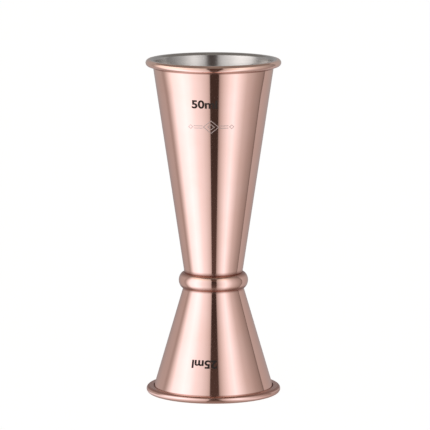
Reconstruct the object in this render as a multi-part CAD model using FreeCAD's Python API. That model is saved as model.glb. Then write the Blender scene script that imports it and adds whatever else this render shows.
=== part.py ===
import FreeCAD, Part
import math
import os
from collections import namedtuple

# Bar jigger: a tall 50 ml cup and a short 25 ml cup, both deep-drawn from steel sheet with rolled rims,
# spot-welded base to base, with a hollow rolled ring trapped in the waist between them.
# Millimetres, +Z up. The origin is on the axis, in the plane of the small cup's rim, which is the foot.

# Overall sizes
overall_height = 114.0    # foot rim to mouth rim
joint_height = 38.8       # the plane where the two bases meet, above the foot

# Cups: radii of the face that holds the liquid, at the plane of the mouth and at the floor
cup_sheet = 0.7
big_mouth_r = 20.05
big_base_r = 8.9
small_mouth_r = 20.1
small_base_r = 8.95
base_corner_r = 1.5       # between floor and wall, on the liquid side

# Rolled rim
curl_r = 1.15             # outer radius of the roll
rim_land = 0.7            # flat pressed on the crest of the roll, which the jigger stands on
curl_gap = 0.15           # between the sheet's cut edge and the wall behind it

# Waist ring
ring_sheet = 0.6
ring_height = 5.5         # between its two lips' outer faces
ring_bulge = 1.9          # how far it stands out from its seat on the cups
ring_drop = 0.2           # how far its middle is below the joint
ring_face_angle = 40.0    # degrees each side of the middle that the broad outer arc covers
ring_lip_reach = 2.5      # length of lip before it is trimmed to the cups

# Spot welds between the two bases
nugget_count = 3
nugget_r = 1.5
nugget_depth = 0.35       # how far a nugget reaches into each base
nugget_margin = 1.6       # flat metal left between a nugget and the base's corner

Cup = namedtuple("Cup", "mouth_r base_r height")
big = Cup(big_mouth_r, big_base_r, overall_height - joint_height)
small = Cup(small_mouth_r, small_base_r, joint_height)

AXIS_POINT = FreeCAD.Vector(0, 0, 0)
AXIS = FreeCAD.Vector(0, 0, 1)


# Drawing: an outline in the (radius, height) plane is a walk of straights and turns.

def straight(length):
    return ("straight", length, 0.0)


def turn(radius, degrees):
    """An arc to the left where degrees is positive, and to the right where it is negative."""
    return ("turn", radius, degrees)


def step(point, heading, length):
    angle = math.radians(heading)
    return (point[0] + length * math.cos(angle), point[1] + length * math.sin(angle))


def in_space(point):
    return FreeCAD.Vector(point[0], 0, point[1])


def line(start, end):
    return Part.LineSegment(in_space(start), in_space(end)).toShape()


def walk(point, heading, moves):
    """The edges along the moves, and the point and heading at their end."""
    edges = []
    for kind, size, degrees in moves:
        if kind == "straight":
            end = step(point, heading, size)
            edges.append(line(point, end))
        else:
            side = math.copysign(90, degrees)
            centre = step(point, heading + side, size)
            middle = step(centre, heading - side + degrees / 2, size)
            end = step(centre, heading - side + degrees, size)
            edges.append(Part.Arc(in_space(point), in_space(middle), in_space(end)).toShape())
            heading += degrees
        point = end
    return edges, point, heading


def back_of(moves, sheet):
    """The same walk along the back of the sheet, which lies to the right of its face."""
    return [(kind, size + math.copysign(sheet, degrees) if kind == "turn" else size, degrees)
            for kind, size, degrees in moves]


def revolve(edges):
    face = Part.Face(Part.Wire(Part.sortEdges(edges)[0]))
    return face.revolve(AXIS_POINT, AXIS, 360)


def turned_sheet(start, heading, moves, sheet):
    """A solid of revolution of constant wall, whose face follows the moves."""
    face, face_end, _ = walk(start, heading, moves)
    back_start = step(start, heading - 90, sheet)
    back, back_end, _ = walk(back_start, heading, back_of(moves, sheet))
    return revolve(face + [line(face_end, back_end)] + back + [line(back_start, start)])


def filled(start, heading, moves):
    """The solid of revolution between the axis and a walk that starts on it."""
    edges, end, _ = walk(start, heading, moves)
    on_axis = (0, end[1])
    return revolve(edges + [line(end, on_axis), line(on_axis, start)])


# Cups: each is drawn with its base down, its base's outer face at height 0 and its mouth at the top.

def lean(cup):
    """Degrees between the cup's wall and its axis."""
    return math.degrees(math.atan2(cup.mouth_r - cup.base_r, cup.height - cup_sheet))


def wall_r(cup, height):
    """Radius of the wall's outer face at a height above the base's outer face."""
    slant = math.radians(lean(cup))
    return cup.base_r + (height - cup_sheet) * math.tan(slant) + cup_sheet / math.cos(slant)


def base_flat_r(cup):
    return cup.base_r - base_corner_r * math.tan(math.radians((90 - lean(cup)) / 2))


def bowl_moves(cup):
    """Floor, corner and wall, along the face that holds the liquid, up to the start of the rim."""
    slant = math.radians(lean(cup))
    wall_start = cup_sheet + base_corner_r * (1 - math.sin(slant))
    wall_end = cup.height - curl_r * (1 - math.sin(slant))
    return [
        straight(base_flat_r(cup)),
        turn(base_corner_r, 90 - lean(cup)),
        straight((wall_end - wall_start) / math.cos(slant)),
    ]


def rim_moves(cup):
    """The roll: over the crest, out across the land, down and back in to the wall."""
    to_land = [turn(curl_r, lean(cup) - 90), straight(rim_land)]
    _, crest_end, _ = walk((0, cup_sheet), 0, bowl_moves(cup) + to_land)
    edge_height = cup.height - 2 * curl_r + cup_sheet
    tuck = crest_end[0] - wall_r(cup, edge_height) - curl_gap
    return to_land + [turn(curl_r, -180), straight(tuck)]


def cup_shell(cup):
    return turned_sheet((0, cup_sheet), 0, bowl_moves(cup) + rim_moves(cup), cup_sheet)


def cup_envelope(cup):
    """The space inside the outer face of a cup's base and wall, without its rim."""
    return filled((0, 0), 0, back_of(bowl_moves(cup), cup_sheet))


def brimful(cup):
    """The liquid that a cup holds when it is filled to its brim."""
    return filled((0, cup_sheet), 0, bowl_moves(cup) + [turn(curl_r, lean(cup) - 90)])


def place_big(shape):
    """Stands a shape that was drawn base down on the joint, mouth up."""
    return shape.translated(FreeCAD.Vector(0, 0, joint_height))


def place_small(shape):
    """Hangs a shape that was drawn base down under the joint, mouth down."""
    turned = shape.copy()
    turned.rotate(AXIS_POINT, FreeCAD.Vector(1, 0, 0), 180)
    return turned.translated(FreeCAD.Vector(0, 0, joint_height))


# Spot welds

def weld_nugget(x, y):
    """A lens of melted metal, centred on the joint, which reaches the same depth into both bases."""
    cap_r = (nugget_r ** 2 + nugget_depth ** 2) / (2 * nugget_depth)
    offset = cap_r - nugget_depth
    below = Part.makeSphere(cap_r, FreeCAD.Vector(x, y, joint_height - offset))
    above = Part.makeSphere(cap_r, FreeCAD.Vector(x, y, joint_height + offset))
    return below.common(above)


def weld_nuggets():
    flat_r = min(base_flat_r(big), base_flat_r(small))
    circle_r = flat_r - nugget_margin - nugget_r
    nuggets = []
    for number in range(nugget_count):
        angle = 2 * math.pi * number / nugget_count
        nuggets.append(weld_nugget(circle_r * math.cos(angle), circle_r * math.sin(angle)))
    return Part.makeCompound(nuggets)


# Waist ring

def ring_arcs():
    """Radii of the two shoulders and of the broad face between them, from the ring's height and bulge.

    The bulge is shoulder * cos(a) + face * (1 - cos(a)), and half the height is
    shoulder * (1 - sin(a)) + face * sin(a), where a is the face's half angle.
    """
    sine = math.sin(math.radians(ring_face_angle))
    cosine = math.cos(math.radians(ring_face_angle))
    half = ring_height / 2
    scale = cosine * sine - (1 - cosine) * (1 - sine)
    shoulder = (ring_bulge * sine - half * (1 - cosine)) / scale
    face = (half * cosine - ring_bulge * (1 - sine)) / scale
    return shoulder, face


def waist_ring():
    """A hollow half-round band: a lip, three arcs and a lip, trimmed where it meets the cups."""
    shoulder, face = ring_arcs()
    top = joint_height - ring_drop + ring_height / 2
    bottom = top - ring_height
    seat_r = min(wall_r(big, top - joint_height), wall_r(small, joint_height - bottom))
    moves = [
        straight(ring_lip_reach),
        turn(shoulder, ring_face_angle - 90),
        turn(face, -2 * ring_face_angle),
        turn(shoulder, ring_face_angle - 90),
        straight(ring_lip_reach),
    ]
    band = turned_sheet((seat_r - ring_lip_reach, top), 0, moves, ring_sheet)
    return band.cut([place_big(cup_envelope(big)), place_small(cup_envelope(small))])


def build():
    nuggets = weld_nuggets()
    return {
        "big_cup": place_big(cup_shell(big)).cut(nuggets),
        "small_cup": place_small(cup_shell(small)).cut(nuggets),
        "waist_ring": waist_ring(),
        "base_weld_nuggets": nuggets,
    }


os.makedirs("parts", exist_ok=True)
for name, shape in build().items():
    if not shape.isValid():
        raise RuntimeError(name + " is not a valid shape")
    shape.exportStep("parts/" + name + ".step")
    print(name, len(shape.Solids), "solid(s),", round(shape.Volume, 1), "mm3")
print("brimful, ml:", round(brimful(big).Volume / 1000, 2), "and", round(brimful(small).Volume / 1000, 2))
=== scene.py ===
# %% [markdown]
# # A copper-plated bar jigger
#
# This lesson builds a double-ended cocktail measure: a tall 50 ml cup and a short 25 ml cup, drawn from
# steel sheet, joined base to base inside a rounded ring. The outside is polished copper plate, the inside
# is bare steel. Almost all of it is turned work, so the lesson is mostly about two things: drawing half an
# outline and spinning it, and making metal look like metal.
#
# The engineering model is already packed. It is loaded first and kept as a fixed frame, and every piece
# made here takes its place from it.

# %% Load the frame
import math

import bmesh
import bpy
from mathutils import Matrix, Vector


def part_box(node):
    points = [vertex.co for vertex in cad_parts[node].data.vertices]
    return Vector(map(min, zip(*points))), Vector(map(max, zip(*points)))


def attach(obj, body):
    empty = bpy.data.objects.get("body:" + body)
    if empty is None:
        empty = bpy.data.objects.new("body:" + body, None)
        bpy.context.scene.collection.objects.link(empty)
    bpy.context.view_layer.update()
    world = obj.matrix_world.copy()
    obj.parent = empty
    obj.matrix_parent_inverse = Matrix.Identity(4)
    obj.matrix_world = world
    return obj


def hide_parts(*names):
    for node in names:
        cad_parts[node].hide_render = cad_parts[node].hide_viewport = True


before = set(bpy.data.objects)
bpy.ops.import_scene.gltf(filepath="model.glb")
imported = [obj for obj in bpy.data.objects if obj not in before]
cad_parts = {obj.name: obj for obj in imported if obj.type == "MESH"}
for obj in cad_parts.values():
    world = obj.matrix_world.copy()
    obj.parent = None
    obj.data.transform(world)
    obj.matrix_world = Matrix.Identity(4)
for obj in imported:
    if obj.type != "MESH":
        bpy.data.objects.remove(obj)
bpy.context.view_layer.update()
print("nodes in the frame:", sorted(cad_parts))

# %% [markdown]
# ## Measures
#
# Heights and overall radii are read from the frame's own boxes. The frame doesn't say how thick the sheet
# is or how tightly the rims are rolled, so those are named here, in metres. They are the engineering model's
# own values, except for the gap inside the rolled rims, which plating has narrowed.

# %% Measures of the cups and the ring
MM = 0.001

SHEET = 0.7 * MM
CORNER_R = 1.5 * MM           # between floor and wall, inside the cup
CURL_R = 1.15 * MM            # outer radius of the rolled rim
CURL_GAP = 0.05 * MM          # between the sheet's cut edge and the wall
RIM_LAND = 0.7 * MM           # flat on the crest of the roll
BIG_MOUTH_R, BIG_BASE_R = 20.05 * MM, 8.9 * MM
SMALL_MOUTH_R, SMALL_BASE_R = 20.1 * MM, 8.95 * MM
RING_SHEET = 0.6 * MM
RING_FACE_ANGLE = 40.0        # degrees each side of the middle that the broad outer arc covers

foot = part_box("small_cup")[0].z
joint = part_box("big_cup")[0].z
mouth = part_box("big_cup")[1].z
ring_low, ring_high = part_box("waist_ring")
print("foot %.1f, joint %.1f and mouth %.1f mm up" % (foot / MM, joint / MM, mouth / MM))

# %% [markdown]
# ## Camera
#
# A long lens from far away keeps the sides of the cones nearly parallel, as in a catalogue picture. It
# looks down by less than nine degrees, which opens the mouth just enough to show the steel inside.

# %% The camera
CAMERA_DISTANCE = 1.2565
CAMERA_HEIGHT = 0.2515
CAMERA_SIDE = 0.00054
CAMERA_DOWN = 8.628           # degrees below the horizon
LENS = 313.7

lens_data = bpy.data.cameras.new("camera")
lens_data.lens = LENS
lens_data.sensor_width = 36.0
lens_data.clip_end = 50.0
camera = bpy.data.objects.new("camera", lens_data)
camera.location = (CAMERA_SIDE, -CAMERA_DISTANCE, CAMERA_HEIGHT)
camera.rotation_euler = (math.radians(90.0 - CAMERA_DOWN), 0.0, 0.0)
bpy.context.scene.collection.objects.link(camera)
bpy.context.scene.camera = camera
bpy.context.scene.view_settings.view_transform = "Standard"
print("camera %.2f m away, %.1f mm lens" % (CAMERA_DISTANCE, LENS))

# %% [markdown]
# ## A pen for outlines
#
# A turned part is half an outline spun about its axis. The outline could be a long list of points, but
# then nobody can see that it is made of straights and arcs. Here a pen walks instead: `straight` pulls the
# last vertex along, and `turn` spins it about a centre beside the path, which gives a true arc. Both are
# ordinary bmesh operators acting on a single vertex.

# %% The pen
class Pen:
    """Draws in the plane y = 0 with x as the radius. Left turns are positive."""

    def __init__(self, mesh, radius, height, heading=0.0):
        self.mesh = mesh
        self.tip = mesh.verts.new((radius, 0.0, height))
        self.heading = heading

    def direction(self, degrees=0.0):
        angle = math.radians(self.heading + degrees)
        return Vector((math.cos(angle), 0.0, math.sin(angle)))

    def straight(self, length, steps=1):
        for _ in range(steps):
            pulled = bmesh.ops.extrude_vert_indiv(self.mesh, verts=[self.tip])["verts"]
            bmesh.ops.translate(self.mesh, verts=pulled, vec=self.direction() * (length / steps))
            self.tip = pulled[0]

    def corner(self, degrees):
        self.heading += degrees

    def turn(self, radius, degrees, steps):
        centre = self.tip.co + self.direction(math.copysign(90.0, degrees)) * radius
        swept = bmesh.ops.spin(self.mesh, geom=[self.tip], cent=centre, axis=(0.0, 1.0, 0.0),
                               angle=-math.radians(degrees), steps=steps, use_merge=False)
        self.tip = swept["geom_last"][0]
        self.heading += degrees


# %% [markdown]
# The outline then goes around the axis. Spinning it through an eighth of a turn and copying that sector
# round is quicker than one long spin, because each step of a spin walks over all that is there already.
# Merging doubles afterwards closes the seams and turns the points on the axis into single poles. A surface
# of one finish is spun on its own, and a piece with two finishes is put together from two surfaces.

# %% Spinning an outline
TURNS = 192                   # flats around a turned piece: each is under a millimetre wide
SECTORS = 8
MERGE = 1e-6


def spin_surface(outline, finish):
    """Spins an outline once around the axis. Returns a mesh whose faces all have one material slot."""
    sector = 2.0 * math.pi / SECTORS
    around = {"cent": (0, 0, 0), "axis": (0, 0, 1)}
    bmesh.ops.spin(outline, geom=list(outline.verts) + list(outline.edges), **around,
                   angle=sector, steps=TURNS // SECTORS)
    everything = list(outline.verts) + list(outline.edges) + list(outline.faces)
    bmesh.ops.spin(outline, geom=everything, **around,
                   angle=sector * (SECTORS - 1), steps=SECTORS - 1, use_duplicate=True)
    for face in outline.faces:
        face.material_index = finish
        face.smooth = True
    surface = bpy.data.meshes.new("surface")
    outline.to_mesh(surface)
    outline.free()
    return surface


def join_surfaces(surfaces):
    """One closed bmesh from several surfaces that meet at their rims, with its faces turned outwards."""
    mesh = bmesh.new()
    for surface in surfaces:
        mesh.from_mesh(surface)
        bpy.data.meshes.remove(surface)
    bmesh.ops.remove_doubles(mesh, verts=mesh.verts, dist=MERGE)
    bmesh.ops.recalc_face_normals(mesh, faces=mesh.faces)
    return mesh


def verts_in(geometry):
    """The vertices among what an extrusion gives back."""
    return [item for item in geometry if isinstance(item, bmesh.types.BMVert)]


def make_piece(mesh, name, materials, sharp_angle=50.0):
    """Turns a finished bmesh into an object that rides on the jigger."""
    open_edges = sum(1 for edge in mesh.edges if len(edge.link_faces) != 2)
    data = bpy.data.meshes.new(name)
    mesh.to_mesh(data)
    mesh.free()
    data.set_sharp_from_angle(angle=math.radians(sharp_angle))
    for material in materials:
        data.materials.append(material)
    piece = bpy.data.objects.new(name, data)
    bpy.context.scene.collection.objects.link(piece)
    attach(piece, "root")
    print("%s: %d faces, %d open edges" % (name, len(data.polygons), open_edges))
    return piece


# %% [markdown]
# ## A kit for materials
#
# Every finish here is a Principled shader with a few procedural textures on it. Small helpers keep the
# recipes short: one makes a node and sets its sockets, another gives the Object coordinates, stretched as
# the pattern needs. Object coordinates are metres on the piece itself, so a scratch is the same size on
# every piece.

# %% Material helpers
def add_node(tree, kind, settings=None, **sockets):
    """A node with some of its properties set, and its sockets set or linked by name."""
    node = tree.nodes.new(kind)
    for name, value in (settings or {}).items():
        setattr(node, name, value)
    for name, value in sockets.items():
        socket = node.inputs[name.replace("_", " ")]
        if isinstance(value, bpy.types.NodeSocket):
            tree.links.new(value, socket)
        else:
            socket.default_value = value
    return node


def new_material(name, **sockets):
    """A Principled material, and the tree and shader that the textures are wired to."""
    material = bpy.data.materials.new(name)
    material.use_nodes = True
    tree = material.node_tree
    shader = tree.nodes["Principled BSDF"]
    for socket, value in sockets.items():
        shader.inputs[socket.replace("_", " ")].default_value = value
    return material, tree, shader


def object_coordinates(tree, stretch=(1.0, 1.0, 1.0)):
    place = add_node(tree, "ShaderNodeTexCoord").outputs["Object"]
    return add_node(tree, "ShaderNodeMapping", Vector=place, Scale=stretch).outputs["Vector"]


def noise(tree, place, scale, detail=3.0, roughness=0.5):
    texture = add_node(tree, "ShaderNodeTexNoise", Vector=place, Scale=scale, Detail=detail,
                       Roughness=roughness)
    return texture.outputs["Fac"]


def maths(tree, operation, first, second=None, third=None):
    """One step of arithmetic on numbers or sockets."""
    node = add_node(tree, "ShaderNodeMath", {"operation": operation})
    for socket, value in zip(node.inputs, (first, second, third)):
        if isinstance(value, bpy.types.NodeSocket):
            tree.links.new(value, socket)
        elif value is not None:
            socket.default_value = value
    return node.outputs[0]


def spread(tree, value, low, high, from_low=0.3, from_high=0.7):
    """Maps one range of a value onto another. Without a range of its own, it is the middle of a noise."""
    ranged = add_node(tree, "ShaderNodeMapRange", Value=value, From_Min=from_low, From_Max=from_high,
                      To_Min=low, To_Max=high)
    return ranged.outputs["Result"]


# A Mix node has sockets for numbers and for colours under the same names, so colours go by place.
MIX_COLOURS, MIXED_COLOUR = (6, 7), 2


def blend_colours(tree, amount, first, second):
    """From the first colour to the second. Either may be a socket."""
    mixer = add_node(tree, "ShaderNodeMix", {"data_type": "RGBA"}, Factor=amount)
    for place, value in zip(MIX_COLOURS, (first, second)):
        if isinstance(value, bpy.types.NodeSocket):
            tree.links.new(value, mixer.inputs[place])
        else:
            mixer.inputs[place].default_value = (*value, 1.0)
    return mixer.outputs[MIXED_COLOUR]


def bump(tree, height, distance):
    return add_node(tree, "ShaderNodeBump", Height=height, Distance=distance, Strength=1.0).outputs["Normal"]


# %% [markdown]
# The small finishes are all alike: the colour drifts between two tones in a fine mottle, and the same mottle
# may set the relief and the roughness. One recipe makes them.

# %% A mottled finish
def mottled_finish(name, colours, scale, detail=3.0, relief=None, roughness=None, **sockets):
    """A material whose colour, and if asked its relief and roughness, follow one noise."""
    material, tree, shader = new_material(name, **sockets)
    mottle = noise(tree, object_coordinates(tree), scale, detail)
    colour = blend_colours(tree, spread(tree, mottle, 0.0, 1.0), *colours)
    tree.links.new(colour, shader.inputs["Base Color"])
    if relief:
        tree.links.new(bump(tree, mottle, relief), shader.inputs["Normal"])
    if roughness:
        tree.links.new(spread(tree, mottle, *roughness), shader.inputs["Roughness"])
    print("made", name)
    return material


# %% [markdown]
# ## Polished copper plate
#
# The plate is a few micrometres of copper on polished steel: nearly a mirror, and pink rather than orange.
# Its colour is all in its reflections, so it is a full metal with a low roughness. Three things keep it
# from looking computed. Buffing leaves very fine lines around the cup, handling leaves faint cloudy patches
# where the polish is duller, and the plate's colour drifts by a percent or two.
#
# A buffing wheel can't reach into a crevice, so the plate there stays thin and matt. Where the ring sits on
# the
# cups, and where the rolled rims are tucked against the walls, the plate's colour is also darkened to a
# brown:
# that is partly painted shade in the crevices and partly tarnish on the thin plate. The mask for both is the
# distance in height from each crevice.

# %% The copper plate
COPPER = (0.935, 0.625, 0.515)
COPPER_DEEP = (0.915, 0.590, 0.475)
# the brown of the crevices: painted shade, together with tarnish on the thin plate
CREVICE_SHADE_AND_TARNISH = (0.430, 0.220, 0.165)
CREVICES = (                  # height of the middle, and how far from it the painted shade and tarnish start to fade and end
    (foot + 2.0 * CURL_R - 0.22 * MM, 0.15 * MM, 0.42 * MM),
    (ring_low.z + 0.55 * MM, 0.35 * MM, 1.10 * MM),
    (ring_high.z + 0.05 * MM, 0.20 * MM, 1.20 * MM),
    (mouth - 2.0 * CURL_R - 0.25 * MM, 0.25 * MM, 0.50 * MM),
)
CREVICE_ROUGHNESS = 0.20      # added to the plate's own
PLATE_ROUGHNESS, ROLLED_ROUGHNESS = (0.055, 0.085), (0.100, 0.130)
CLOUD_SCALE = 90.0            # noise cells per metre, as for every scale
BUFFING = (60.0, 60.0, 9000.0)
BUFFING_DEPTH = 0.6e-6


def crevice_shade_mask(tree):
    """1 in a crevice, where painted shade and tarnish darken the plate and it is matt, and 0 where the
    buffing wheel reaches.
    """
    height = add_node(tree, "ShaderNodeSeparateXYZ", Vector=object_coordinates(tree)).outputs["Z"]
    deepest = 0.0
    for middle, full, reach in CREVICES:
        distance = maths(tree, "ABSOLUTE", maths(tree, "SUBTRACT", height, middle))
        deepest = maths(tree, "MAXIMUM", deepest, spread(tree, distance, 1.0, 0.0, full, reach))
    return deepest


def copper_finish(name, smooth, cloudy):
    """Plated copper whose roughness wanders between smooth and cloudy."""
    material, tree, shader = new_material(name, Metallic=1.0)
    cloud = noise(tree, object_coordinates(tree), CLOUD_SCALE, detail=4.0, roughness=0.6)
    lines = noise(tree, object_coordinates(tree, BUFFING), 1.0, detail=2.0)
    crevice = crevice_shade_mask(tree)
    plate = blend_colours(tree, spread(tree, cloud, 0.0, 1.0), COPPER, COPPER_DEEP)
    # in the crevices the plate is darkened towards a brown: painted shade, with some tarnish
    tree.links.new(blend_colours(tree, crevice, plate, CREVICE_SHADE_AND_TARNISH), shader.inputs["Base Color"])
    matt = maths(tree, "MULTIPLY_ADD", crevice, CREVICE_ROUGHNESS, spread(tree, cloud, smooth, cloudy))
    tree.links.new(matt, shader.inputs["Roughness"])
    tree.links.new(bump(tree, lines, BUFFING_DEPTH), shader.inputs["Normal"])
    print("made", name)
    return material


copper = copper_finish("copper_plate", *PLATE_ROUGHNESS)
rolled_copper = copper_finish("copper_on_rolled_rim", *ROLLED_ROUGHNESS)

# %% [markdown]
# ## Bare stainless steel
#
# Inside, the cup was turned against an abrasive belt and not plated. The lines run around the cup and are
# coarser than on the plate, so they break the reflections up into fine level streaks. Squeezing the noise
# in height and letting it run long around the wall gives that grain from plain Object coordinates. The grain
# is in the colour only. The relief under it is broader, because relief that is too fine to be resolved turns
# to specks.

# %% The bare steel
STEEL = (0.665, 0.628, 0.605)
STEEL_DARK = (0.610, 0.574, 0.550)
STEEL_ROUGHNESS = (0.17, 0.21)
STEEL_CLOUD_SCALE = 120.0
GRAIN = (90.0, 90.0, 3200.0)
WAVES, WAVE_DEPTH = (60.0, 60.0, 1200.0), 0.8e-6

steel, tree, shader = new_material("bare_steel", Metallic=1.0)
grain = noise(tree, object_coordinates(tree, GRAIN), 1.0, detail=4.0, roughness=0.65)
cloud = noise(tree, object_coordinates(tree), STEEL_CLOUD_SCALE)
tree.links.new(blend_colours(tree, spread(tree, grain, 0.0, 1.0), STEEL, STEEL_DARK),
               shader.inputs["Base Color"])
tree.links.new(spread(tree, cloud, *STEEL_ROUGHNESS), shader.inputs["Roughness"])
waves = noise(tree, object_coordinates(tree, WAVES), 1.0)
tree.links.new(bump(tree, waves, WAVE_DEPTH), shader.inputs["Normal"])
print("made", steel.name)

# %% [markdown]
# ## The cups
#
# Both cups are the same walk with other lengths. The liquid side is drawn first: out along the floor, round
# the corner, up the wall and over to the middle of the rim's flat crest, where the plating starts. The
# second walk carries on over the roll, tucks the sheet's edge in against the wall and turns back inside the
# roll. The third comes down the outside to the axis. The cups are drawn base down with their base at zero
# height.

# %% One cup
WALL_STEPS = 24
CORNER_STEPS = 12
CURL_STEPS = 18
FLOOR_STEPS = 6
COPPER_SLOT, STEEL_SLOT, ROLL_SLOT = 0, 1, 2


def wall_outside(base_r, slant, above_base):
    """Radius of a cup's outer face at a height above its base."""
    return base_r + (above_base - SHEET) * math.tan(slant) + SHEET / math.cos(slant)


def turned_cup(mouth_r, base_r, height):
    """A cup's closed wall as a bmesh, and the lean of the wall in degrees."""
    slant = math.atan2(mouth_r - base_r, height - SHEET)
    lean = math.degrees(slant)
    upright = 90.0 - lean
    floor_flat = base_r - CORNER_R * math.tan(math.radians(upright / 2.0))
    wall_rise = height - SHEET - (CURL_R + CORNER_R) * (1.0 - math.sin(slant))
    wall = wall_rise / math.cos(slant)

    inside = bmesh.new()
    pen = Pen(inside, 0.0, SHEET)
    pen.straight(floor_flat, FLOOR_STEPS)
    pen.turn(CORNER_R, upright, CORNER_STEPS)
    pen.straight(wall, WALL_STEPS)
    pen.turn(CURL_R, -upright, CURL_STEPS)
    pen.straight(RIM_LAND / 2.0)
    crest = pen.tip.co.copy()

    edge_height = height - 2.0 * CURL_R + SHEET
    tuck = crest.x + RIM_LAND / 2.0 - wall_outside(base_r, slant, edge_height) - CURL_GAP
    roll = bmesh.new()
    pen = Pen(roll, crest.x, crest.z)
    pen.straight(RIM_LAND / 2.0)
    pen.turn(CURL_R, -180.0, 2 * CURL_STEPS)
    pen.straight(tuck)
    pen.corner(-90.0)
    pen.straight(SHEET)
    pen.corner(-90.0)
    pen.straight(tuck)
    pen.turn(CURL_R - SHEET, 180.0, CURL_STEPS)
    pen.straight(RIM_LAND)
    pen.turn(CURL_R - SHEET, upright, CURL_STEPS // 2)

    outside = bmesh.new()
    pen = Pen(outside, pen.tip.co.x, pen.tip.co.z, pen.heading)
    pen.straight(wall, WALL_STEPS)
    pen.turn(CORNER_R + SHEET, -upright, CORNER_STEPS)
    pen.straight(floor_flat, FLOOR_STEPS)
    surfaces = ((inside, STEEL_SLOT), (roll, ROLL_SLOT), (outside, COPPER_SLOT))
    return join_surfaces([spin_surface(outline, slot) for outline, slot in surfaces]), lean


# %% [markdown]
# The tall cup only has to be lifted onto the joint. The short one is turned over first, and a half turn
# about a level axis keeps its faces the right way out, which a mirror would not.

# %% Both cups in place
CUP_FINISHES = [copper, steel, rolled_copper]

mesh, big_lean = turned_cup(BIG_MOUTH_R, BIG_BASE_R, mouth - joint)
bmesh.ops.translate(mesh, verts=mesh.verts, vec=(0.0, 0.0, joint))
big_cup = make_piece(mesh, "big_cup_shell", CUP_FINISHES)

mesh, small_lean = turned_cup(SMALL_MOUTH_R, SMALL_BASE_R, joint - foot)
bmesh.ops.rotate(mesh, verts=mesh.verts, cent=(0, 0, 0), matrix=Matrix.Rotation(math.pi, 3, "X"))
bmesh.ops.translate(mesh, verts=mesh.verts, vec=(0.0, 0.0, joint))
small_cup = make_piece(mesh, "small_cup_shell", CUP_FINISHES)

for piece, node in ((big_cup, "big_cup"), (small_cup, "small_cup")):
    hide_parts(node)
big_slant, small_slant = math.radians(big_lean), math.radians(small_lean)
print("walls lean %.1f and %.1f degrees" % (big_lean, small_lean))

# %% [markdown]
# ## The waist ring
#
# The ring is rolled from thinner sheet into a half-round band: a broad outer arc with a tighter shoulder
# each side. Asking for its height and bulge, and solving for the two radii, keeps the three arcs tangent.
# The band is one closed wall, drawn down the outside and back up the inside, and its lips end in the
# cups' walls.

# %% The ring
RING_STEPS = 28
SHOULDER_STEPS = 14


def ring_radii(height, bulge):
    """Radii of the shoulders and of the broad arc between them."""
    sine = math.sin(math.radians(RING_FACE_ANGLE))
    cosine = math.cos(math.radians(RING_FACE_ANGLE))
    half = height / 2.0
    scale = cosine * sine - (1.0 - cosine) * (1.0 - sine)
    shoulder = (bulge * sine - half * (1.0 - cosine)) / scale
    face = (half * cosine - bulge * (1.0 - sine)) / scale
    return shoulder, face


seat_r = wall_outside(BIG_BASE_R, big_slant, ring_high.z - joint)
shoulder_r, face_r = ring_radii(ring_high.z - ring_low.z, ring_high.x - seat_r)
shoulder_turn = 90.0 - RING_FACE_ANGLE

band = bmesh.new()
pen = Pen(band, seat_r, ring_high.z)
pen.turn(shoulder_r, -shoulder_turn, SHOULDER_STEPS)
pen.turn(face_r, -2.0 * RING_FACE_ANGLE, RING_STEPS)
pen.turn(shoulder_r, -shoulder_turn, SHOULDER_STEPS)
pen.corner(-90.0)
pen.straight(RING_SHEET)
pen.corner(-90.0)
pen.turn(shoulder_r - RING_SHEET, shoulder_turn, SHOULDER_STEPS)
pen.turn(face_r - RING_SHEET, 2.0 * RING_FACE_ANGLE, RING_STEPS)
pen.turn(shoulder_r - RING_SHEET, shoulder_turn, SHOULDER_STEPS)
pen.corner(-90.0)
pen.straight(RING_SHEET)
bmesh.ops.remove_doubles(band, verts=band.verts, dist=MERGE)
ring = make_piece(join_surfaces([spin_surface(band, COPPER_SLOT)]), "waist_ring_band", [copper])
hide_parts("waist_ring")

# %% [markdown]
# ## Measure marks
#
# Each cup says how much it holds. The marks are burnt in with a laser, which leaves a dark matt oxide, so
# they take no colour from the studio. Blender's own font is converted to a mesh, sliced into narrow strips
# so that it can bend, and wrapped around the cone by turning sideways distance into an angle. It keeps a
# real thickness of a few hundredths of a millimetre.

# %% The mark finish
MARK_DARK = (0.026, 0.018, 0.015)
MARK_LIGHT = (0.050, 0.035, 0.030)
MARK_SPECKLE, MARK_RELIEF = 6000.0, 4.0e-6

mark_finish = mottled_finish("laser_oxide", (MARK_DARK, MARK_LIGHT), MARK_SPECKLE, detail=2.0,
                             relief=MARK_RELIEF, Roughness=0.70, Specular_IOR_Level=0.20)

# %% Flat letters
MARK_THICK = 0.04 * MM
MARK_PROUD = 0.02 * MM
STRIP = 0.35 * MM
LETTER_MERGE, CUT_SNAP = 1e-7, 1e-8


def flat_text(words, width, height, boldness):
    """A bmesh of the words, centred on the origin in the XY plane, at a real width and height."""
    curve = bpy.data.curves.new(words, "FONT")
    curve.body = words
    curve.offset = boldness
    curve.extrude = 0.5
    curve.resolution_u = 6
    carrier = bpy.data.objects.new(words, curve)
    bpy.context.scene.collection.objects.link(carrier)
    bpy.context.view_layer.update()
    evaluated = carrier.evaluated_get(bpy.context.evaluated_depsgraph_get())
    data = bpy.data.meshes.new_from_object(evaluated)
    flat = bmesh.new()
    flat.from_mesh(data)
    bpy.data.objects.remove(carrier)
    bpy.data.curves.remove(curve)
    bpy.data.meshes.remove(data)
    xs = [vert.co.x for vert in flat.verts]
    ys = [vert.co.y for vert in flat.verts]
    middle = Vector(((min(xs) + max(xs)) / 2.0, (min(ys) + max(ys)) / 2.0, 0.0))
    bmesh.ops.translate(flat, verts=flat.verts, vec=-middle)
    size = (width / (max(xs) - min(xs)), height / (max(ys) - min(ys)), MARK_THICK)
    bmesh.ops.scale(flat, verts=flat.verts, vec=size)
    bmesh.ops.remove_doubles(flat, verts=flat.verts, dist=LETTER_MERGE)
    return flat


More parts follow.
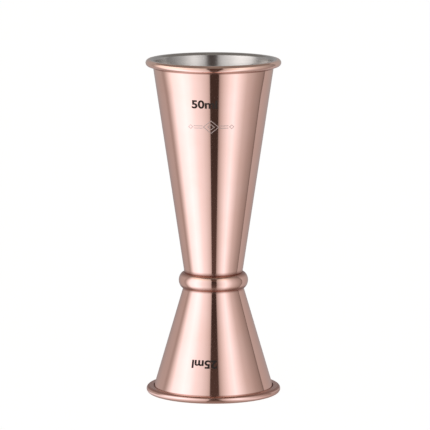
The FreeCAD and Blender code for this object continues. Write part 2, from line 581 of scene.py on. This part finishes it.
def slice_upright(flat, width):
    """Cuts a flat piece into strips so that it can follow the round."""
    cuts = int(width / STRIP)
    for number in range(1, cuts):
        x = -width / 2.0 + width * number / cuts
        everything = list(flat.verts) + list(flat.edges) + list(flat.faces)
        bmesh.ops.bisect_plane(flat, geom=everything, dist=CUT_SNAP, plane_co=(x, 0, 0), plane_no=(1, 0, 0))


# %% [markdown]
# Wrapping needs only the wall's radius at one height and its slope. Both cups' walls are straight, so a few
# lines of arithmetic put a flat point on the cone: up the page becomes up the slant, and across the page
# becomes around the axis. The short cup's mark is upside down until the jigger is turned over.

# %% Wrapping on a cone
def wrap(flat, height, wall_r, slope, azimuth, upside_down=False):
    """Moves a flat mesh onto the cone whose radius is wall_r at the height and grows by slope per metre."""
    slant = math.atan(slope)
    turned = -1.0 if upside_down else 1.0
    for vert in flat.verts:
        across, up = turned * vert.co.x, turned * vert.co.y
        out = vert.co.z + MARK_PROUD - MARK_THICK / 2.0
        angle = math.radians(azimuth) + across / wall_r
        radius = wall_r + up * math.sin(slant) + out * math.cos(slant)
        z = height + up * math.cos(slant) - out * math.sin(slant)
        vert.co = (radius * math.sin(angle), -radius * math.cos(angle), z)


def make_mark(flat, name, material):
    """Turns a wrapped mark into a piece of its own."""
    flat.normal_update()          # wrapping turned the faces, and the next step trusts their stored normals
    bmesh.ops.recalc_face_normals(flat, faces=flat.faces)
    piece = make_piece(flat, name, [material])


# %% The two measures
MARK_WIDTH, MARK_HEIGHT = 8.8 * MM, 2.9 * MM
MARK_BOLDNESS = 0.034         # how far the font's outlines are pushed out, when its size is 1
BIG_MARK_AZIMUTH, SMALL_MARK_AZIMUTH = -9.3, -10.3      # degrees
BIG_MARK_HEIGHT = mouth - 13.2 * MM
SMALL_MARK_HEIGHT = foot + 12.5 * MM
BIG_SLOPE, SMALL_SLOPE = math.tan(big_slant), -math.tan(small_slant)


def measure(words):
    """The words as flat letters, sliced and ready to wrap."""
    letters = flat_text(words, MARK_WIDTH, MARK_HEIGHT, MARK_BOLDNESS)
    slice_upright(letters, MARK_WIDTH)
    return letters


letters = measure("50ml")
wall_r = wall_outside(BIG_BASE_R, big_slant, BIG_MARK_HEIGHT - joint)
wrap(letters, BIG_MARK_HEIGHT, wall_r, BIG_SLOPE, BIG_MARK_AZIMUTH)
make_mark(letters, "mark_50ml", mark_finish)

letters = measure("25ml")
wall_r = wall_outside(SMALL_BASE_R, small_slant, joint - SMALL_MARK_HEIGHT)
wrap(letters, SMALL_MARK_HEIGHT, wall_r, SMALL_SLOPE, SMALL_MARK_AZIMUTH, upside_down=True)
make_mark(letters, "mark_25ml", mark_finish)

# %% [markdown]
# Under the tall cup's measure goes a small plain ornament: a diamond in a diamond, with a pair of fine lines
# and a small diamond on each side. It is etched nearly through the plate, so it is paler and frosted. A
# diamond is a circle of four segments, and its inner edge is the same circle made smaller. Extruding the
# faces between the two gives it a thickness, and keeping the original faces closes it.

# %% The ornament's finish and strokes
ETCH_STROKE = 0.26 * MM
ETCH_LIGHT, ETCH_DARK = (0.68, 0.53, 0.46), (0.60, 0.46, 0.40)
FROST_SCALE, FROST_RELIEF = 5000.0, 3.0e-6

etched = mottled_finish("etched_steel", (ETCH_LIGHT, ETCH_DARK), FROST_SCALE, detail=2.0,
                        relief=FROST_RELIEF, Metallic=1.0, Roughness=0.48)


def add_diamond(flat, across, half_width, half_height):
    """A diamond outline with a stroke of even width."""
    inner = 1.0 - ETCH_STROKE * math.hypot(half_width, half_height) / (half_width * half_height)
    edges = []
    for share in (1.0, inner):
        corners = bmesh.ops.create_circle(flat, segments=4, radius=share)["verts"]
        bmesh.ops.scale(flat, verts=corners, vec=(half_width, half_height, 1.0))
        bmesh.ops.translate(flat, verts=corners, vec=(across, 0.0, -MARK_THICK / 2.0))
        edges += {edge for vert in corners for edge in vert.link_edges}
    faces = bmesh.ops.bridge_loops(flat, edges=edges)["faces"]
    raised = bmesh.ops.extrude_face_region(flat, geom=faces, use_keep_orig=True)["geom"]
    bmesh.ops.translate(flat, verts=verts_in(raised), vec=(0.0, 0.0, MARK_THICK))


def add_hairline(flat, across, up, length):
    """A straight stroke across, centred."""
    size = Matrix.Diagonal((length, ETCH_STROKE, MARK_THICK, 1.0))
    bmesh.ops.create_cube(flat, size=1.0, matrix=Matrix.Translation((across, up, 0.0)) @ size)


# %% The ornament
ORNAMENT_HEIGHT = mouth - 20.9 * MM
ORNAMENT_AZIMUTH = -2.6       # degrees
ORNAMENT_SPAN = 16.0 * MM
OUTER_DIAMOND, INNER_DIAMOND = (2.8 * MM, 2.3 * MM), (1.3 * MM, 1.05 * MM)      # half width, half height
SIDE_DIAMOND, SIDE_DIAMOND_OUT = (0.95 * MM, 0.85 * MM), 7.05 * MM
HAIRLINE, HAIRLINE_OUT, HAIRLINE_UP = 3.0 * MM, 4.4 * MM, 0.4 * MM

ornament = bmesh.new()
add_diamond(ornament, 0.0, *OUTER_DIAMOND)
add_diamond(ornament, 0.0, *INNER_DIAMOND)
for side in (-1.0, 1.0):
    add_diamond(ornament, side * SIDE_DIAMOND_OUT, *SIDE_DIAMOND)
    for up in (-HAIRLINE_UP, HAIRLINE_UP):
        add_hairline(ornament, side * HAIRLINE_OUT, up, HAIRLINE)
slice_upright(ornament, ORNAMENT_SPAN)
wall_r = wall_outside(BIG_BASE_R, big_slant, ORNAMENT_HEIGHT - joint)
wrap(ornament, ORNAMENT_HEIGHT, wall_r, BIG_SLOPE, ORNAMENT_AZIMUTH)
make_mark(ornament, "etched_ornament", etched)

# %% [markdown]
# ## The weld nuggets
#
# Three spot welds hold the bases together. They sit between the floors, out of sight, so the frame's own
# solids stay and only need a finish: once-melted steel, dull and faintly blued.

# %% Weld finish
WELD_GREY, WELD_BLUE = (0.42, 0.41, 0.43), (0.30, 0.31, 0.36)
WELD_SCALE = 900.0

weld = mottled_finish("weld_steel", (WELD_GREY, WELD_BLUE), WELD_SCALE, Metallic=1.0, Roughness=0.45)
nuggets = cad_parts["base_weld_nuggets"]
nuggets.data.materials.clear()
nuggets.data.materials.append(weld)
print("nuggets finished")

# %% [markdown]
# The welding electrodes press a shallow print into each cup's floor, over every nugget, with a ring of straw
# and a ring of blue where the heat ran out. A print is an outline too. Its three zones are spun on their own
# so that each can have its finish, then the print is set down on the floor. The short cup's are turned over.

# %% Weld prints
PRINT_PROUD, PRINT_SUNK = 0.03 * MM, 0.02 * MM
PRINT_ZONES = (               # how wide the zone is from its inner edge outwards, its finish and its colour
    (1.05 * MM, "weld_core", (0.40, 0.39, 0.38)),
    (0.35 * MM, "weld_straw", (0.56, 0.44, 0.28)),
    (0.25 * MM, "weld_blue", (0.30, 0.33, 0.42)),
)
PRINT_COUNT = 3
PRINT_SCALE, PRINT_ROUGHNESS = 2500.0, (0.28, 0.40)
PRINT_DARKER = 0.85           # share of the colour in the darker tone
NUGGET_R = 1.5 * MM

print_finishes = []
for _, name, colour in PRINT_ZONES:
    darker = tuple(PRINT_DARKER * level for level in colour)
    print_finishes.append(mottled_finish(name, (colour, darker), PRINT_SCALE, roughness=PRINT_ROUGHNESS,
                                         Metallic=1.0))


def weld_print():
    """One print as a closed bmesh, face up at the origin."""
    surfaces = []
    tip = Vector((0.0, 0.0, PRINT_PROUD))
    for slot, (reach, _, _) in enumerate(PRINT_ZONES):
        outline = bmesh.new()
        pen = Pen(outline, tip.x, tip.z)
        pen.straight(reach, 2)
        tip = pen.tip.co.copy()
        if slot == len(PRINT_ZONES) - 1:
            pen.corner(-90.0)
            pen.straight(PRINT_PROUD + PRINT_SUNK)
            pen.corner(-90.0)
            pen.straight(tip.x)
        surfaces.append(spin_surface(outline, slot))
    return join_surfaces(surfaces)


# %% Prints on both floors
circle_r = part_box("base_weld_nuggets")[1].x - NUGGET_R
for node, floor_height, tilt in (("big_cup", joint + SHEET, 0.0), ("small_cup", joint - SHEET, math.pi)):
    prints = bmesh.new()
    for number in range(PRINT_COUNT):
        one = weld_print()
        angle = 2.0 * math.pi * number / PRINT_COUNT
        spot = Vector((circle_r * math.cos(angle), circle_r * math.sin(angle), floor_height))
        setting_down = Matrix.Translation(spot) @ Matrix.Rotation(tilt, 4, "X")
        bmesh.ops.transform(one, verts=one.verts, matrix=setting_down)
        data = bpy.data.meshes.new("print")
        one.to_mesh(data)
        one.free()
        prints.from_mesh(data)
        bpy.data.meshes.remove(data)
    make_piece(prints, node + "_weld_prints", print_finishes)

# %% [markdown]
# ## The studio
#
# Polished metal has no look of its own: it shows the room. This one is a light tent, a small drum of white
# cloth that stands around the jigger, with a slit in front for the camera. The slit is the dark band down
# the middle of the jigger. The left of the drum is the brightest, about sixty degrees round, the right about
# forty, and both fade towards the back. The drum is real geometry rather than a picture on the world,
# because it is so near that the rims, the ring and the foot each see it at another angle. Its upper part has
# a plainer colour and reaches further round: that is what the steel inside the mouth reflects. The drum is
# seen by reflections only, and its cloth gives off the light itself.

# %% The tones of the drum
DRUM_R, DRUM_HEIGHT = 83.0 * MM, 162.0 * MM
TONES = [                     # degrees round from the camera, to the right if positive, and brightness
    (-180, 0.36), (-150, 0.38), (-125, 0.47), (-109, 0.485), (-101.5, 0.40), (-97, 0.50), (-88, 0.90),
    (-80, 1.22), (-69.5, 1.32), (-57, 1.42), (-45.5, 1.32), (-34.5, 1.10), (-23, 0.96), (-12, 0.75),
    (-6.8, 0.57), (-6.0, 0.20), (9.4, 0.20), (10.4, 0.38), (13.6, 0.58), (20, 0.82), (30, 1.10),
    (40, 1.26), (53, 0.95), (64, 0.68), (83.5, 0.455), (95, 0.37), (101.6, 0.31), (102.6, 0.14),
    (103.9, 0.14), (104.5, 0.53), (150, 0.40), (180, 0.36),
]
TONE_PEAK = 2.0
DIM_LIGHT = (1.0, 0.85, 0.80)
FULL_LIGHT = (1.0, 1.04, 1.16)
UPPER_FROM, UPPER_TO = 82.0 * MM, 112.0 * MM
UPPER_SPREAD = 0.10           # how much further round the tones lie in the upper part
UPPER_SHARE = 0.96            # of the brightness


def light_colour(brightness):
    """The colour of the cloth, which goes from a warm dim tint to a cool bright one."""
    return [brightness * (dim + (full - dim) * brightness) for dim, full in zip(DIM_LIGHT, FULL_LIGHT)]


# %% [markdown]
# A material can tell where it is on the drum from the Object coordinates: the arc tangent gives the degrees
# round, and a colour ramp that goes once around the compass gives the tone. The ramp holds colours between
# 0 and 1, so they are divided by a peak there and multiplied by it again later.

# %% The cloth
cloth = bpy.data.materials.new("drum_cloth")
cloth.use_nodes = True
cloth.cycles.emission_sampling = "NONE"
tree = cloth.node_tree
tree.nodes.clear()

place = object_coordinates(tree)
parts = add_node(tree, "ShaderNodeSeparateXYZ", Vector=place).outputs
height = parts["Z"]
radius = add_node(tree, "ShaderNodeVectorMath", {"operation": "LENGTH"}, Vector=place).outputs["Value"]
turned = maths(tree, "ARCTAN2", parts["X"], maths(tree, "MULTIPLY", parts["Y"], -1.0))
azimuth = maths(tree, "MULTIPLY", turned, 180.0 / math.pi)
upper = spread(tree, height, 0.0, 1.0, UPPER_FROM, UPPER_TO)
drawn_in = maths(tree, "MULTIPLY_ADD", upper, -UPPER_SPREAD, 1.0)
compass = maths(tree, "MULTIPLY_ADD", maths(tree, "MULTIPLY", azimuth, drawn_in), 1.0 / 360.0, 0.5)
tones = add_node(tree, "ShaderNodeValToRGB", Fac=compass)
ramp = tones.color_ramp
ramp.elements.remove(ramp.elements[-1])
for number, (degrees, brightness) in enumerate(TONES):
    stop = ramp.elements[0] if number == 0 else ramp.elements.new(degrees / 360.0 + 0.5)
    stop.color = (*[level / TONE_PEAK for level in light_colour(brightness)], 1.0)
print("drum with %d tones" % len(TONES))

# %% [markdown]
# The ground is lit by the cloth. Next to the wall it is as bright as the wall, and towards the jigger it
# takes a share of that and a warm glow from all round. Right up against the foot it is in the jigger's own
# shade. The slit is darker still. It is made a little lighter near the ground and level with the mouth, and
# wider above that, so that the rims and the steel inside show a band of the right shade and width. Heights
# are from the foot, which is at zero.

# %% The ground and the slit
GROUND_SHARE, GROUND_GLOW = (0.72, 0.68, 0.67), (0.060, 0.045, 0.040)
GROUND_FADE = (48.0 * MM, 72.0 * MM)
CONTACT_LIGHT, CONTACT_FADE = (0.330, 0.280, 0.270), (22.4 * MM, 25.0 * MM)
NO_GLOW = (0.0, 0.0, 0.0)
SLIT_LEFT, SLIT_RIGHT = (-6.4, -5.7), (9.4, 10.1)      # degrees that each soft edge covers
SLIT_DARK = (0.055, 0.040, 0.036)
SLIT_FOOT, SLIT_FOOT_FADE = (0.100, 0.070, 0.064), (10.0 * MM, 55.0 * MM)
SLIT_RIM = (0.125, 0.085, 0.072)
SLIT_RIM_FROM, SLIT_RIM_TO = (84.0 * MM, 98.0 * MM), (118.0 * MM, 128.0 * MM)
SLIT_OPENS = (100.0 * MM, 126.0 * MM)
SLIT_OPENS_LEFT, SLIT_OPENS_RIGHT = 4.0, 5.0      # degrees


def rising(tree, value, low, high):
    """0 below the range, 1 above it, and in between along the range."""
    return spread(tree, value, 0.0, 1.0, low, high)


def share_and_glow(tree, colour, share, glow):
    """A share of a colour socket, plus a glow."""
    node = add_node(tree, "ShaderNodeVectorMath", {"operation": "MULTIPLY_ADD"})
    tree.links.new(colour, node.inputs[0])
    node.inputs[1].default_value = share
    node.inputs[2].default_value = glow
    return node.outputs[0]


plain = add_node(tree, "ShaderNodeRGBToBW", Color=tones.outputs["Color"]).outputs[0]
lower_light = share_and_glow(tree, tones.outputs["Color"], (TONE_PEAK,) * 3, NO_GLOW)
upper_light = share_and_glow(tree, plain, (TONE_PEAK * UPPER_SHARE,) * 3, NO_GLOW)
wall_light = blend_colours(tree, upper, lower_light, upper_light)
near_ground = share_and_glow(tree, wall_light, GROUND_SHARE, GROUND_GLOW)
near_ground = blend_colours(tree, rising(tree, radius, *CONTACT_FADE), CONTACT_LIGHT, near_ground)

slit_light = blend_colours(tree, rising(tree, height, *SLIT_FOOT_FADE), SLIT_FOOT, SLIT_DARK)
past_rim = rising(tree, height, *SLIT_RIM_TO)
at_rim = maths(tree, "SUBTRACT", rising(tree, height, *SLIT_RIM_FROM), past_rim)
slit_light = blend_colours(tree, at_rim, slit_light, SLIT_RIM)
opened = rising(tree, height, *SLIT_OPENS)
from_left = rising(tree, maths(tree, "MULTIPLY_ADD", opened, SLIT_OPENS_LEFT, azimuth), *SLIT_LEFT)
past_right = rising(tree, maths(tree, "MULTIPLY_ADD", opened, -SLIT_OPENS_RIGHT, azimuth), *SLIT_RIGHT)
in_slit = maths(tree, "SUBTRACT", from_left, past_right)

light = blend_colours(tree, in_slit, wall_light, slit_light)
light = blend_colours(tree, rising(tree, radius, *GROUND_FADE), near_ground, light)
glow = add_node(tree, "ShaderNodeEmission", Color=light, Strength=1.0)
add_node(tree, "ShaderNodeOutputMaterial", Surface=glow.outputs[0])

# %% The drum itself
DRUM_SIDES = 96
DRUM_SUNK = 0.2 * MM          # how far its ground lies under the foot, so that they don't touch


def studio_piece(mesh, name, material):
    """An object that stands around the jigger and isn't part of it."""
    data = bpy.data.meshes.new(name)
    mesh.to_mesh(data)
    mesh.free()
    data.materials.append(material)
    piece = bpy.data.objects.new(name, data)
    bpy.context.scene.collection.objects.link(piece)
    return piece


mesh = bmesh.new()
bmesh.ops.create_circle(mesh, cap_ends=True, segments=DRUM_SIDES, radius=DRUM_R)
bmesh.ops.translate(mesh, verts=mesh.verts, vec=(0.0, 0.0, foot - DRUM_SUNK))
raised = bmesh.ops.extrude_edge_only(mesh, edges=[edge for edge in mesh.edges if edge.is_boundary])["geom"]
bmesh.ops.translate(mesh, verts=verts_in(raised), vec=(0.0, 0.0, DRUM_HEIGHT + DRUM_SUNK))
drum = studio_piece(mesh, "light_drum", cloth)
drum.visible_camera = drum.visible_diffuse = drum.visible_transmission = drum.visible_shadow = False
print("drum stands %.0f mm high" % (DRUM_HEIGHT / MM))

# %% [markdown]
# Over the open drum there is only a dim room. It is what the tops of the rims and of the ring reflect. The
# camera sees white there, as it would with a white wall behind. Light that has already gone from wall to
# wall in a cup or a crevice comes from a brighter room, which stands for the lamps that light the tent from
# outside and keeps the inside of the cup from going black.

# %% The room
ROOM_LIGHT = (0.25, 0.240, 0.225)
LAMP_LIGHT = (2.1, 2.35, 2.5)
WHITE = (1.0, 1.0, 1.0)
LAMPS_FROM = 3.5              # bounces after which light comes from the lamps

world = bpy.data.worlds.new("room")
world.use_nodes = True
bpy.context.scene.world = world
tree = world.node_tree
tree.nodes.clear()
path = add_node(tree, "ShaderNodeLightPath").outputs
deep = maths(tree, "GREATER_THAN", path["Ray Depth"], LAMPS_FROM)
reflected = blend_colours(tree, deep, ROOM_LIGHT, LAMP_LIGHT)
around = blend_colours(tree, path["Is Camera Ray"], reflected, WHITE)
room = add_node(tree, "ShaderNodeBackground", Strength=1.0, Color=around)
add_node(tree, "ShaderNodeOutputWorld", Surface=room.outputs[0])
print("room lit")

# %% [markdown]
# The jigger stands on a pale sweep of paper, lit from all round, which is why it casts almost no shadow.
# The paper gives off most of its own light here, which keeps it even, and it is hidden from reflections
# because the drum's ground already stands for it there.

# %% The floor
FLOOR_REACH = 6.0
PAPER_GLOW = 0.92
PAPER_DARK, PAPER_LIGHT = (0.34, 0.34, 0.34), (0.35, 0.35, 0.35)
FIBRE_SCALE = 400.0

paper = mottled_finish("pale_paper", (PAPER_DARK, PAPER_LIGHT), FIBRE_SCALE, Roughness=0.9,
                       Specular_IOR_Level=0.0, Emission_Color=(*WHITE, 1.0), Emission_Strength=PAPER_GLOW)

mesh = bmesh.new()
bmesh.ops.create_grid(mesh, x_segments=2, y_segments=2, size=FLOOR_REACH)
floor = studio_piece(mesh, "floor", paper)
floor.location.z = foot
floor.visible_glossy = False
print("floor laid")
